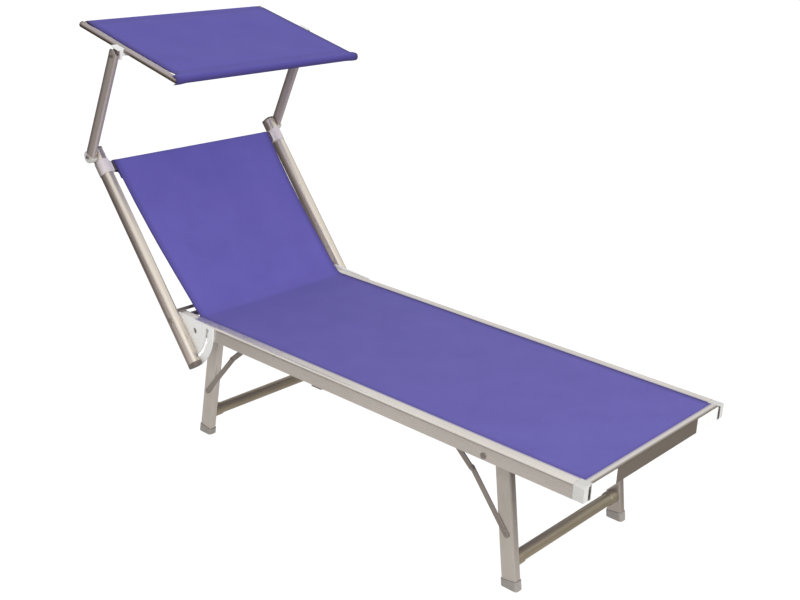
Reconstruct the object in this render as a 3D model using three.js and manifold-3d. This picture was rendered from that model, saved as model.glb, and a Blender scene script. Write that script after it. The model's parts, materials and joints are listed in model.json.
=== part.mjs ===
// Sun lounger with canopy: a folding aluminium frame with a woven sling.
// Millimetres, +Z up, Y from the foot end to the head, X across. Left is the -X side.
// The model stands on the floor at z = 0, and its box is centred on the origin in X and Y.
import * as THREE from 'three';
import { mergeVertices } from 'three/addons/utils/BufferGeometryUtils.js';
import Module from 'manifold-3d';

const wasm = await Module();
wasm.setup();

// Whole lounger
const frameWidth = 620;
const seatHeight = 392;
const seatLength = 1374; // foot end to the backrest axle
const backAngle = THREE.MathUtils.degToRad(51);
const clearance = 0.3; // between pieces that touch or turn on each other
const overrun = 20; // how far a cutter runs past what it cuts
const roundSteps = 4; // straight steps in a quarter of a small round
const ringSteps = 20; // straight steps round a tube

// Seat rails and the sling channel in them
const railWidth = 30;
const railHeight = 40;
const railWall = 1.6;
const railEdgeRadius = 8;
const railTail = 10; // rail beyond the backrest axle
const slingThickness = 1.8;
const slingDrop = 2; // top of the rail to top of the sling
const beadRadius = 3.4;
const beadInset = 6; // rail's inner face to the bead's centre

// Caps and corner pieces at the foot end
const footCapLength = 30;
const footCapPocketDepth = 8;
const footCapPocketRim = 4;
const footCapPocketWidth = 13;
const tenonLength = 25;
const headCapThickness = 3;
const headTenonLength = 8;
const connectorLength = 100;
const crossRailDepth = 22;
const crossRailLip = 4.5;
const edgeStripWidth = 20;
const connectorPocketDepth = 3;
const connectorPocketRim = 6;
const connectorRib = 4;

// Legs
const legRailGap = 37; // seat rail's inner face to the leg's outer face
const legDepth = 45;
const legThickness = 23;
const legWall = 1.6;
const legEdgeRadius = 6;
const legAxleDrop = 29; // top of the rails to the leg axles
const legSplay = THREE.MathUtils.degToRad(8.5);
const frontLegPlace = 275; // foot end to the front legs' axle
const rearLegSetback = 71; // backrest axle to the rear legs' axle
const legBarHeight = 67;
const legBarRadius = 16.5;
const legBarWall = 1.5;
const ferruleLength = 30; // thicker ends of the leg crossbars
const ferruleWall = 2.5;
const ferruleChamfer = 4;
const footWall = 1.8;
const footSkirt = 14;
const footSole = 8;
const legAxleRadius = 5;
const legSpacerRadius = 8;
const legAxleHeadRadius = 8;
const legAxleHeadThickness = 3;

// Folding stays, set out on the front pair: offsets from the leg axle along the rail and up
const stayLegOffset = 36;
const stayLegDrop = 221;
const stayKneeOffset = 78;
const stayKneeDrop = 84;
const stayRailOffset = 175;
const stayThickness = 3;
const stayHalfWidth = 7.5;
const stayGap = 0.4; // between a link and the leg, and between two links
const stayRivetRadius = 3;
const stayRivetHeadRadius = 5.5;
const stayRivetHeadThickness = 1.8;
const stayRivetReach = 4;
const stayPinRadius = 4;
const stayPinReach = 8; // past the rail's inner face
const staySpacerRadius = 7;

// Backrest
const backRailLength = 543; // axle to the top end
const backRailTail = 136; // axle to the lower end
const backRailDepth = 42;
const backRailThickness = 30;
const backRailEdgeRadius = 12;
const backRailWall = 1.6;
const backRailGap = 7; // seat rail to back rail, with the adjuster plate between
const topBarPlace = 487;
const topBarWidth = 35;
const topBarDepth = 16;
const topBarWall = 1.5;
const sleeveStart = 466;
const sleeveLength = 42;
const sleeveWall = 1.2;
const socketWall = 1.6;
const socketLength = 8;
const backCapThickness = 4;
const backPlugThickness = 11;
const backPlugTenon = 30;
const hemLap = 26; // sling's sleeve seam below the top bar
const hemTurnStart = THREE.MathUtils.degToRad(-126); // where the sleeve meets the bar's lower round
const hemTurnSteps = 2;
const lowerBarPlace = 24;
const lowerBarDrop = 6; // behind the rails' centre plane
const lowerBarRadius = 5;
const lowerBarWall = 1.5;
const slingSideGap = 1; // seat rail's inner face to the back sling at the fold
const slingTopGap = 9.5; // top bar's sockets to the sling's sleeve

// The back sling leaves the seat short of the axle and sags towards the top bar.
// Curve of its front face: places along the rails and heights over their centre plane
const slingBend = [[-20, 43], [80, 38], [220, 10.1], [440, 10.1]];
const slingBendSteps = 14;
const slingFoldGap = 2; // between the two slings at the fold

// Backrest axle
const axleRadius = 6;
const axleTubeRadius = 8;
const axleHeadRadius = 9;
const axleHeadThickness = 3.5;

// Adjuster: a notched quadrant that the back rail's lower peg runs in
const quadrantThickness = 5.8;
const quadrantRadius = 148;
const quadrantHubRadius = 18;
const quadrantStart = THREE.MathUtils.degToRad(176);
const quadrantEnd = THREE.MathUtils.degToRad(248);
const quadrantHubStart = THREE.MathUtils.degToRad(308);
const quadrantHubEnd = THREE.MathUtils.degToRad(450);
const pegRadius = 4.5;
const pegPlace = 122; // axle to the peg
const pegReach = 6;
const slotStart = THREE.MathUtils.degToRad(180);
const slotEnd = THREE.MathUtils.degToRad(240);
const slotClearance = 0.7;
const notchStep = THREE.MathUtils.degToRad(17);
const notchDepth = 5;
const quadrantPegRadius = 4;
const quadrantPegPlaces = [46, 98]; // along the rail from the axle
const quadrantPegDrop = 8;

// Canopy arms
const armPivotPlace = 529; // backrest axle to the arm's pivot
const armLength = 335;
const armDepth = 34;
const armThickness = 16;
const armWall = 1.4;
const armEdgeRadius = 6.5;
const armGap = 2; // back rail to arm
const armAngle = THREE.MathUtils.degToRad(113.3);
const armTail = 10;
const boltRadius = 4;
const boltHeadRadius = 6.5;
const boltHeadThickness = 4.4;
const nutRadius = 7;
const nutThickness = 4.7;
const elbowWall = 1.2;
const elbowLength = 6;
const elbowBossRadius = 10;

// Canopy
const canopyAngle = THREE.MathUtils.degToRad(12.7);
const canopyForward = 247; // arm pivot to the front edge
const canopyBack = 196;
const canopyTubeRadius = 9;
const canopyTubeWall = 1.2;
const canopyTubeInset = 27; // arms' middle planes to the side tubes' centres
const canopyTubeRise = 16; // arm pivot to the tubes' centre plane
const canopyDrainRadius = 1.5;
const canopyDrainPlace = 60;
const knuckleLength = 34;
const knuckleBase = 1.5; // web under the tube, above the pivot
const knuckleTop = 22;
const knuckleDrop = 9;
const knuckleHoodInset = 8; // arm's outer face to the hood's edge
const knuckleInner = 11.5; // tube's centre to the knuckle's inner face
const knuckleEar = 7.7;
const knuckleChamfer = 3;
const tiltBoltHeadRadius = 7.5;
const tiltBoltHeadThickness = 3.9;

// Materials
const standard = (color, roughness, metalness) => ({ color, roughness, metalness });
const finish = {
  aluminium: standard(0xb9b4b0, 0.35, 0.9),
  darkAluminium: standard(0x6f6861, 0.45, 0.8),
  fabric: standard(0x6962ab, 0.85, 0),
  whitePlastic: standard(0xf2f2ee, 0.5, 0),
  greyPlastic: standard(0xc4c4be, 0.5, 0),
  darkPlastic: standard(0x4a4742, 0.6, 0),
  steel: standard(0x8d8782, 0.4, 0.9),
  foot: standard(0x7d7a74, 0.7, 0),
};

// Places that follow from the sizes
const halfFrame = frameWidth / 2;
const railInner = halfFrame - railWidth;
const railBottom = seatHeight - railHeight;
const slingTop = seatHeight - slingDrop;
const slingBottom = slingTop - slingThickness;
const slingOffset = topBarDepth / 2 + clearance; // axle centre to the sling's underside
const axleHeight = slingBottom - slingOffset;
const footTop = slingBottom - clearance; // top of the cross rail under the sling
const legPivotHeight = seatHeight - legAxleDrop;
const rearLegPlace = seatLength - rearLegSetback;
const legOuter = railInner - legRailGap;
const legX = legOuter - legThickness / 2;
const legInner = legX - legThickness / 2;
const backRailInner = halfFrame + backRailGap;
const backRailX = backRailInner + backRailThickness / 2;
const backRailOuter = backRailInner + backRailThickness;
const armInner = backRailOuter + armGap;
const armX = armInner + armThickness / 2;
const armOuter = armInner + armThickness;
const canopyTubeX = armX - canopyTubeInset;
const sides = [['left', -1], ['right', 1]];

// Basic geometry

function arcPoints(cx, cy, radius, from, to, steps) {
  return Array.from({ length: steps + 1 }, (_, i) => {
    const angle = from + (to - from) * i / steps;
    return new THREE.Vector2(cx + radius * Math.cos(angle), cy + radius * Math.sin(angle));
  });
}

function roundedRectPoints(cx, cy, width, height, radius) {
  const right = cx + width / 2 - radius;
  const left = cx - width / 2 + radius;
  const top = cy + height / 2 - radius;
  const bottom = cy - height / 2 + radius;
  const quarter = Math.PI / 2;
  return [
    ...arcPoints(right, top, radius, 0, quarter, roundSteps),
    ...arcPoints(left, top, radius, quarter, 2 * quarter, roundSteps),
    ...arcPoints(left, bottom, radius, 2 * quarter, 3 * quarter, roundSteps),
    ...arcPoints(right, bottom, radius, 3 * quarter, 4 * quarter, roundSteps),
  ];
}

function shapeOf(outline, ...holes) {
  const shape = new THREE.Shape(outline);
  for (const hole of holes) shape.holes.push(new THREE.Path(hole));
  return shape;
}

function circlePoints(cx, cy, radius, steps = ringSteps) {
  return arcPoints(cx, cy, radius, 0, 2 * Math.PI, steps).slice(0, -1);
}

function boxPoints(left, bottom, right, top) {
  return [[left, bottom], [right, bottom], [right, top], [left, top]]
    .map(([x, y]) => new THREE.Vector2(x, y));
}

function extrude(shape, depth) {
  return new THREE.ExtrudeGeometry(shape, { depth, bevelEnabled: false, steps: 1 });
}

// The outline is drawn in (y, z) and runs from x0 to x1
function extrudeX(shape, x0, x1) {
  const basis = new THREE.Matrix4().makeBasis(
    new THREE.Vector3(0, 1, 0), new THREE.Vector3(0, 0, 1), new THREE.Vector3(1, 0, 0));
  return extrude(shape, x1 - x0).applyMatrix4(basis).translate(x0, 0, 0);
}

// The outline is drawn in (x, z) and runs from y0 to y1
function extrudeY(shape, y0, y1) {
  return extrude(shape, y1 - y0).rotateX(Math.PI / 2).translate(0, y1, 0);
}

// The outline is drawn in (x, y) and runs from z0 to z1
function extrudeZ(shape, z0, z1) {
  return extrude(shape, z1 - z0).translate(0, 0, z0);
}

function box(x0, y0, z0, x1, y1, z1) {
  return extrudeZ(shapeOf(boxPoints(x0, y0, x1, y1)), z0, z1);
}

// A turned piece on a line along X through (y, z): pairs of place along X and radius
function turnedX(profile, y, z, steps = ringSteps) {
  const points = profile.map(([x, radius]) => new THREE.Vector2(radius, x));
  points.unshift(new THREE.Vector2(0, profile[0][0]));
  points.push(new THREE.Vector2(0, profile.at(-1)[0]));
  return new THREE.LatheGeometry(points, steps).rotateZ(-Math.PI / 2).translate(0, y, z);
}

function cylinderX(x0, x1, radius, y, z, steps = ringSteps) {
  return turnedX([[x0, radius], [x1, radius]], y, z, steps);
}

// Solids, for cuts and joins

const componentCount = 3; // of a corner's place

function solidOf(geometry) {
  const bare = geometry.clone();
  bare.deleteAttribute('normal');
  bare.deleteAttribute('uv');
  const merged = mergeVertices(bare);
  return new wasm.Manifold(new wasm.Mesh({
    numProp: componentCount,
    vertProperties: merged.attributes.position.array,
    triVerts: new Uint32Array(merged.index.array),
  }));
}

function geometryOf(solid) {
  const mesh = solid.getMesh();
  const geometry = new THREE.BufferGeometry();
  geometry.setAttribute('position', new THREE.BufferAttribute(mesh.vertProperties, componentCount));
  geometry.setIndex(new THREE.BufferAttribute(mesh.triVerts, 1));
  geometry.computeVertexNormals();
  return geometry;
}

function cut(geometry, ...cutters) {
  return geometryOf(cutters.reduce(
    (solid, cutter) => solid.subtract(solidOf(cutter)), solidOf(geometry)));
}

function join(geometry, ...others) {
  return geometryOf(others.reduce(
    (solid, other) => solid.add(solidOf(other)), solidOf(geometry)));
}

// Every side piece is drawn for the right and mirrored for the left
function mirrored(geometry) {
  const copy = geometry.index ? geometry.toNonIndexed() : geometry.clone();
  const place = copy.attributes.position;
  for (let i = 0; i < place.count; i += 3) {
    const [a, b, c] = [0, 1, 2].map((k) => new THREE.Vector3().fromBufferAttribute(place, i + k));
    [a, c, b].forEach((v, k) => place.setXYZ(i + k, -v.x, v.y, v.z));
  }
  copy.computeVertexNormals();
  return copy;
}

function addMesh(parent, name, geometry, look) {
  const mesh = new THREE.Mesh(geometry, new THREE.MeshStandardMaterial(look));
  mesh.name = name;
  parent.add(mesh);
  return mesh;
}

function addPair(parent, name, geometry, look) {
  for (const [side, sign] of sides) {
    addMesh(parent, `${name}_${side}`, sign > 0 ? geometry : mirrored(geometry), look);
  }
}

function groupAt(parent, y, z, angle) {
  const group = new THREE.Group();
  group.position.set(0, y, z);
  group.rotation.x = angle;
  parent.add(group);
  return group;
}

// Seat rails

const beadX = railInner + beadInset;
const beadZ = slingTop - beadRadius;
const channelRadius = beadRadius + clearance;
const railStart = footCapLength;
const railEnd = seatLength + railTail;

function railOutline() {
  const slotBottom = slingBottom - clearance;
  const mouth = Math.PI - Math.asin((slotBottom - beadZ) / channelRadius);
  return [
    new THREE.Vector2(railInner, railBottom),
    new THREE.Vector2(halfFrame, railBottom),
    ...arcPoints(
      halfFrame - railEdgeRadius, seatHeight - railEdgeRadius, railEdgeRadius, 0, Math.PI / 2, roundSteps),
    new THREE.Vector2(railInner, seatHeight),
    new THREE.Vector2(railInner, beadZ + channelRadius),
    ...arcPoints(beadX, beadZ, channelRadius, Math.PI / 2, mouth - 2 * Math.PI, 2 * roundSteps),
    new THREE.Vector2(railInner, slotBottom),
  ];
}

// Hollow of the rail, which leaves a wall round the channel
function railHollow(inset) {
  const left = railInner + inset;
  const right = halfFrame - inset;
  const bottom = railBottom + inset;
  const step = beadX + channelRadius + inset;
  const shelf = beadZ - channelRadius - inset;
  const radius = railEdgeRadius - railWall;
  return [
    new THREE.Vector2(left, bottom),
    new THREE.Vector2(right, bottom),
    ...arcPoints(right - radius, seatHeight - inset - radius, radius, 0, Math.PI / 2, roundSteps),
    new THREE.Vector2(step, seatHeight - inset),
    new THREE.Vector2(step, shelf),
    new THREE.Vector2(left, shelf),
  ];
}

function seatRail() {
  const body = extrudeY(shapeOf(railOutline(), railHollow(railWall)), railStart, railEnd);
  const through = [railInner - overrun, halfFrame + overrun];
  const axleHole = cylinderX(...through, axleRadius + clearance, seatLength, axleHeight);
  const legHoles = [frontLegPlace, rearLegPlace]
    .map((y) => cylinderX(...through, legAxleRadius + clearance, y, legPivotHeight));
  const stayHoles = [frontLegPlace + stayRailOffset, rearLegPlace - stayRailOffset]
    .map((y) => cylinderX(
      railInner - overrun, railInner + stayPinReach, stayPinRadius + clearance, y, legPivotHeight));
  const pegHoles = quadrantPegPlaces.map((place) => cylinderX(
    halfFrame - overrun, halfFrame + overrun, quadrantPegRadius + clearance,
    seatLength - place, axleHeight - quadrantPegDrop));
  return cut(body, axleHole, ...legHoles, ...stayHoles, ...pegHoles);
}

// A plug of the rail's section with a tenon in the hollow
function railCap(start, end, tenonStart, tenonEnd) {
  const cap = extrudeY(shapeOf(railOutline()), start, end);
  const tenon = extrudeY(shapeOf(railHollow(railWall + clearance)), tenonStart, tenonEnd);
  return join(cap, tenon);
}

function footCap() {
  const end = railStart - clearance;
  const cap = railCap(0, end, end - clearance, end + tenonLength);
  const rim = footCapPocketRim;
  const pocket = box(
    railInner + rim, -overrun, railBottom + rim,
    railInner + footCapPocketWidth, footCapPocketDepth, beadZ - channelRadius - rim);
  return cut(cap, pocket);
}

function headCap() {
  const start = railEnd + clearance;
  const cap = railCap(start, start + headCapThickness, start - headTenonLength, start + clearance);
  const through = [railInner - overrun, halfFrame + overrun];
  return cut(cap, cylinderX(...through, axleRadius + clearance, seatLength, axleHeight));
}

// Foot end: cross rail, corner connectors and the strip over the sling's edge

const connectorOuter = railInner - clearance;
const connectorInner = connectorOuter - connectorLength;

function footOutline(inset) {
  return [
    [inset, railBottom + inset], [crossRailDepth - inset, railBottom + inset],
    [crossRailDepth - inset, footTop - inset], [crossRailLip, footTop - inset],
    ...(inset ? [[inset, footTop - inset]] : [[crossRailLip, slingTop], [0, slingTop]]),
  ].map(([y, z]) => new THREE.Vector2(y, z));
}

function crossRail() {
  const half = connectorInner - clearance;
  return extrudeX(shapeOf(footOutline(0), footOutline(railWall)), -half, half);
}

function cornerConnector() {
  const block = extrudeX(shapeOf(footOutline(0)), connectorInner, connectorOuter);
  const tenon = extrudeX(
    shapeOf(footOutline(railWall + clearance)), connectorInner - tenonLength, connectorInner + clearance);
  const rim = connectorPocketRim;
  const middle = (connectorInner + connectorOuter) / 2;
  const pockets = [
    [connectorInner + rim, middle - connectorRib / 2],
    [middle + connectorRib / 2, connectorOuter - rim],
  ].map(([x0, x1]) => box(x0, -overrun, railBottom + rim, x1, connectorPocketDepth, footTop - rim));
  return cut(join(block, tenon), ...pockets);
}

function edgeStrip() {
  const half = railInner - clearance;
  return box(-half, 0, slingTop + clearance, half, edgeStripWidth, seatHeight);
}

// Place along the seat where the sling turns up to the backrest
function foldPlace() {
  const [along, height] = slingBend[0];
  return seatLength + along * Math.cos(backAngle) - height * Math.sin(backAngle);
}

// Seat sling, with a bead along each side that runs in the rail's channel

function seatSling() {
  const mouth = Math.PI - Math.asin((slingBottom - beadZ) / beadRadius);
  const right = arcPoints(beadX, beadZ, beadRadius, Math.PI / 2, mouth - 2 * Math.PI, 2 * roundSteps);
  const left = right.map((p) => new THREE.Vector2(-p.x, p.y)).reverse();
  return extrudeY(shapeOf([...right, ...left]), crossRailLip + clearance, foldPlace() - slingFoldGap);
}

// Adjuster quadrant on the outside of each seat rail

function polar(radius, angle) {
  return new THREE.Vector2(seatLength + radius * Math.cos(angle), axleHeight + radius * Math.sin(angle));
}

function quadrantSlot() {
  const half = pegRadius + slotClearance;
  const steps = 3 * roundSteps;
  const ends = [slotStart, slotEnd].map((angle) => polar(pegPlace, angle));
  return shapeOf([
    ...arcPoints(seatLength, axleHeight, pegPlace + half, slotStart, slotEnd, steps),
    ...arcPoints(ends[1].x, ends[1].y, half, slotEnd, slotEnd + Math.PI, roundSteps).slice(1, -1),
    ...arcPoints(seatLength, axleHeight, pegPlace - half, slotEnd, slotStart, steps),
    ...arcPoints(ends[0].x, ends[0].y, half, slotStart + Math.PI, slotStart + 2 * Math.PI, roundSteps)
      .slice(1, -1),
  ]);
}

function quadrant() {
  const inner = halfFrame + clearance;
  const outer = inner + quadrantThickness;
  const outline = [
    ...arcPoints(seatLength, axleHeight, quadrantRadius, quadrantStart, quadrantEnd, 2 * roundSteps),
    ...arcPoints(seatLength, axleHeight, quadrantHubRadius, quadrantHubStart, quadrantHubEnd, roundSteps),
  ];
  const plate = extrudeX(shapeOf(outline), inner, outer);
  const pegs = quadrantPegPlaces.map((place) => cylinderX(
    halfFrame - quadrantThickness, inner + clearance, quadrantPegRadius,
    seatLength - place, axleHeight - quadrantPegDrop));
  const through = [inner - overrun, outer + overrun];
  const slot = extrudeX(quadrantSlot(), inner - clearance, outer + overrun);
  const count = Math.round((slotEnd - slotStart) / notchStep) + 1;
  const notches = Array.from({ length: count }, (_, i) => {
    const place = polar(pegPlace + notchDepth, slotStart + i * notchStep);
    return cylinderX(inner - clearance, outer + overrun, pegRadius + slotClearance, place.x, place.y);
  });
  const axleHole = cylinderX(...through, axleRadius + clearance, seatLength, axleHeight);
  const headHole = cylinderX(...through, legAxleHeadRadius + 2 * clearance, rearLegPlace, legPivotHeight);
  return cut(join(plate, ...pegs), slot, ...notches, axleHole, headHole);
}

// Axles, each riveted over outside

function legAxle(place) {
  const spacer = legOuter + clearance;
  const between = legInner - clearance;
  const head = halfFrame + clearance;
  const half = [
    [between, legSpacerRadius], [between, legAxleRadius],
    [spacer, legAxleRadius], [spacer, legSpacerRadius],
    [railInner - clearance, legSpacerRadius], [railInner - clearance, legAxleRadius],
    [head, legAxleRadius], [head, legAxleHeadRadius],
    [head + legAxleHeadThickness / 2, legAxleHeadRadius],
    [head + legAxleHeadThickness, legAxleRadius],
  ];
  const other = half.map(([x, radius]) => [-x, radius]).reverse();
  return turnedX([...other, ...half], place, legPivotHeight);
}

function backAxle() {
  const step = railInner - clearance;
  const head = backRailOuter + clearance;
  const half = [
    [step, axleTubeRadius], [step, axleRadius], [head, axleRadius], [head, axleHeadRadius],
    [head + axleHeadThickness / 2, axleHeadRadius], [head + axleHeadThickness, axleRadius],
  ];
  const other = half.map(([x, radius]) => [-x, radius]).reverse();
  return turnedX([...other, ...half], seatLength, axleHeight);
}

// Legs, drawn in a frame at their axle with the leg pointing down

const legLength = legPivotHeight / Math.cos(legSplay);
const tubeEnd = legLength - footSole;

function legTube() {
  const outline = roundedRectPoints(legX, 0, legThickness, legDepth, legEdgeRadius);
  const hollow = roundedRectPoints(
    legX, 0, legThickness - 2 * legWall, legDepth - 2 * legWall, legEdgeRadius - legWall);
  const radius = legDepth / 2;
  const through = [legInner - overrun, legOuter + overrun];
  const tube = extrudeZ(shapeOf(outline, hollow), -tubeEnd, radius);
  const shoulder = cut(
    box(through[0], -radius - overrun, 0, through[1], radius + overrun, radius + overrun),
    cylinderX(through[0] - overrun, through[1] + overrun, radius, 0, 0, 2 * ringSteps));
  return cut(tube, shoulder, cylinderX(...through, legAxleRadius + clearance, 0, 0));
}

// The rivet of a stay goes through the leg's outer wall only
function legWithRivetHole(direction) {
  const [y, z] = stayOnLeg(direction);
  const start = legOuter - stayRivetReach;
  return cut(legTube(), cylinderX(start, legOuter + overrun, stayRivetRadius + clearance, y, z));
}

// Place of the stay's lower end in the leg's own frame
function stayOnLeg(direction) {
  const splay = -direction * legSplay;
  const y = -direction * stayLegOffset;
  const z = -stayLegDrop;
  return [y * Math.cos(splay) + z * Math.sin(splay), z * Math.cos(splay) - y * Math.sin(splay)];
}

function legFoot(direction) {
  const grow = 2 * (clearance + footWall);
  const outline = roundedRectPoints(
    legX, 0, legThickness + grow, legDepth + grow, legEdgeRadius + clearance + footWall);
  const seat = roundedRectPoints(
    legX, 0, legThickness + 2 * clearance, legDepth + 2 * clearance, legEdgeRadius + clearance);
  const body = extrudeZ(shapeOf(outline), -legLength - overrun, footSkirt - tubeEnd);
  const cavity = extrudeZ(shapeOf(seat), -tubeEnd - clearance, overrun - tubeEnd);
  const reach = legPivotHeight / 2;
  const ground = box(
    legInner - overrun, -reach, -legPivotHeight - reach, legOuter + overrun, reach, -legPivotHeight);
  return cut(body, cavity, ground.rotateX(direction * legSplay));
}

function legBar() {
  const along = (legPivotHeight - legBarHeight) / Math.cos(legSplay);
  const half = legInner - clearance;
  const inner = legBarRadius - legBarWall;
  const thick = legBarRadius + ferruleWall;
  const start = half - ferruleLength;
  const tube = cylinderX(-half, half, legBarRadius, 0, -along);
  const ferrule = (sign) => turnedX([
    [start, legBarRadius - legBarWall / 2], [start + ferruleWall, thick],
    [half - ferruleChamfer, thick], [half, thick - ferruleChamfer / 2],
  ].map(([x, radius]) => [sign * x, radius]).sort((a, b) => a[0] - b[0]), 0, -along);
  const hollow = cylinderX(-half - overrun, half + overrun, inner, 0, -along);
  return cut(join(tube, ferrule(-1), ferrule(1)), hollow);
}

// direction is 1 for the front pair, whose feet point to the foot end, and -1 for the rear pair
function addLegs(parent, name, place, direction) {
  const group = groupAt(parent, place, legPivotHeight, -direction * legSplay);
  addPair(group, `${name}_leg`, legWithRivetHole(direction), finish.aluminium);
  addPair(group, `${name}_foot`, legFoot(direction), finish.foot);
  addMesh(group, `${name}_leg_crossbar`, legBar(), finish.darkAluminium);
}

// Folding stays outside the legs

const lowerLinkX = legOuter + stayGap;
const upperLinkX = lowerLinkX + stayThickness + stayGap;

function linkPlate(a, b, x) {
  const along = Math.atan2(b[1] - a[1], b[0] - a[0]);
  const quarter = Math.PI / 2;
  const outline = [
    ...arcPoints(a[0], a[1], stayHalfWidth, along + quarter, along + 3 * quarter, 2 * roundSteps),
    ...arcPoints(b[0], b[1], stayHalfWidth, along - quarter, along + quarter, 2 * roundSteps),
  ];
  return extrudeX(shapeOf(outline), x, x + stayThickness);
}

function rivetHead(x, [y, z]) {
  return turnedX([
    [x - clearance, stayRivetHeadRadius], [x + stayRivetHeadThickness / 2, stayRivetHeadRadius],
    [x + stayRivetHeadThickness, stayRivetRadius],
  ], y, z);
}

function lowerLink(onLeg, knee) {
  const plate = linkPlate(onLeg, knee, lowerLinkX);
  const inside = legOuter - stayRivetReach + clearance;
  const shank = cylinderX(inside, lowerLinkX + clearance, stayRivetRadius, ...onLeg);
  return join(plate, shank, rivetHead(lowerLinkX + stayThickness, onLeg));
}

function upperLink(onRail, knee) {
  const plate = linkPlate(onRail, knee, upperLinkX);
  const face = upperLinkX + stayThickness;
  const pin = turnedX([
    [face - clearance, staySpacerRadius], [railInner - clearance, staySpacerRadius],
    [railInner - clearance, stayPinRadius], [railInner + stayPinReach - clearance, stayPinRadius],
  ], ...onRail);
  return join(plate, pin, rivetHead(face, knee));
}

function addStays(parent, name, place, direction) {
  const at = (offset, drop) => [place + direction * offset, legPivotHeight - drop];
  const onLeg = at(-stayLegOffset, stayLegDrop);
  const knee = at(stayKneeOffset, stayKneeDrop);
  const onRail = at(stayRailOffset, 0);
  addPair(parent, `${name}_stay_lower`, lowerLink(onLeg, knee), finish.steel);
  addPair(parent, `${name}_stay_upper`, upperLink(onRail, knee), finish.steel);
}

// Backrest, drawn flat in a frame at its axle: y along the rails, z out of the sling's face

function backRail() {
  const outline = roundedRectPoints(
    backRailX, 0, backRailThickness, backRailDepth, backRailEdgeRadius);
  const hollow = roundedRectPoints(
    backRailX, 0, backRailThickness - 2 * backRailWall, backRailDepth - 2 * backRailWall,
    backRailEdgeRadius - backRailWall);
  const tube = extrudeY(shapeOf(outline, hollow), -backRailTail, backRailLength);
  const through = [backRailInner - overrun, backRailOuter + overrun];
  return cut(
    tube,
    cylinderX(...through, axleRadius + clearance, 0, 0),
    cylinderX(...through, boltRadius + clearance, armPivotPlace, 0),
    cylinderX(backRailInner - overrun, backRailX, pegRadius + clearance, -pegPlace, 0));
}

function backTenonOutline() {
  const inset = 2 * (backRailWall + clearance);
  return roundedRectPoints(
    backRailX, 0, backRailThickness - inset, backRailDepth - inset,
    backRailEdgeRadius - backRailWall - clearance);
}

function backOutline() {
  return roundedRectPoints(backRailX, 0, backRailThickness, backRailDepth, backRailEdgeRadius);
}

function backTopCap() {
  const start = backRailLength + clearance;
  const cap = extrudeY(shapeOf(backOutline()), start, start + backCapThickness);
  return join(cap, extrudeY(shapeOf(backTenonOutline()), start - headTenonLength, start + clearance));
}

// Lower plug with the snap peg that runs in the quadrant's slot
function backFootPlug() {
  const end = -backRailTail - clearance;
  const cap = extrudeY(shapeOf(backOutline()), end - backPlugThickness, end);
  const tenon = extrudeY(shapeOf(backTenonOutline()), end - clearance, end + backPlugTenon);
  const peg = cylinderX(backRailInner - pegReach, backRailX, pegRadius, -pegPlace, 0);
  return join(cap, tenon, peg);
}

function topBar() {
  const half = backRailInner - sleeveWall - 2 * clearance;
  const outline = roundedRectPoints(topBarPlace, 0, topBarWidth, topBarDepth, topBarDepth / 2);
  const hollow = roundedRectPoints(
    topBarPlace, 0, topBarWidth - 2 * topBarWall, topBarDepth - 2 * topBarWall, topBarDepth / 2 - topBarWall);
  return extrudeX(shapeOf(outline, hollow), -half, half);
}

function lowerBar() {
  const half = backRailInner - clearance;
  const ring = shapeOf(
    circlePoints(lowerBarPlace, -lowerBarDrop, lowerBarRadius),
    circlePoints(lowerBarPlace, -lowerBarDrop, lowerBarRadius - lowerBarWall));
  return extrudeX(ring, -half, half);
}

const sleeveFace = backRailInner - sleeveWall - clearance;

// Sleeve on the rail with the socket for the top bar's end
function topSleeve() {
  const grow = 2 * (sleeveWall + clearance);
  const outer = roundedRectPoints(
    backRailX, 0, backRailThickness + grow, backRailDepth + grow, backRailEdgeRadius + sleeveWall);
  const inner = roundedRectPoints(
    backRailX, 0, backRailThickness + 2 * clearance, backRailDepth + 2 * clearance,
    backRailEdgeRadius + clearance);
  const ring = extrudeY(shapeOf(outer, inner), sleeveStart, sleeveStart + sleeveLength);
  const socketGrow = 2 * (socketWall + clearance);
  const socket = roundedRectPoints(
    topBarPlace, 0, topBarWidth + socketGrow, topBarDepth + socketGrow,
    topBarDepth / 2 + socketWall);
  const bore = roundedRectPoints(
    topBarPlace, 0, topBarWidth + 2 * clearance, topBarDepth + 2 * clearance,
    topBarDepth / 2 + clearance / 2);
  return join(ring, extrudeX(shapeOf(socket, bore), sleeveFace - socketLength, sleeveFace + clearance));
}

// Points of the sling's curve, at a distance under its front face
function slingCurve(under) {
  const knots = slingBend.map(([along, height]) => new THREE.Vector2(along, height));
  const curve = new THREE.CubicBezierCurve(...knots);
  return Array.from({ length: slingBendSteps + 1 }, (_, i) => {
    const share = i / slingBendSteps;
    const tangent = curve.getTangent(share);
    return curve.getPoint(share).add(new THREE.Vector2(tangent.y, -tangent.x).multiplyScalar(under));
  });
}

// What is cut off each side of the back sling, which widens from the fold to the top bar
function slingTrims(foldY, topY) {
  const foldX = railInner - slingSideGap;
  const topX = sleeveFace - socketLength - slingTopGap;
  return sides.map(([, sign]) => extrudeZ(shapeOf([
    [foldX, foldY - overrun], [topX + 2 * overrun, foldY - overrun], [topX + 2 * overrun, topY + overrun],
    [topX, topY + overrun], [topX, topY], [foldX, foldY],
  ].map(([x, y]) => new THREE.Vector2(sign * x, y))), -halfFrame, halfFrame));
}

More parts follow.
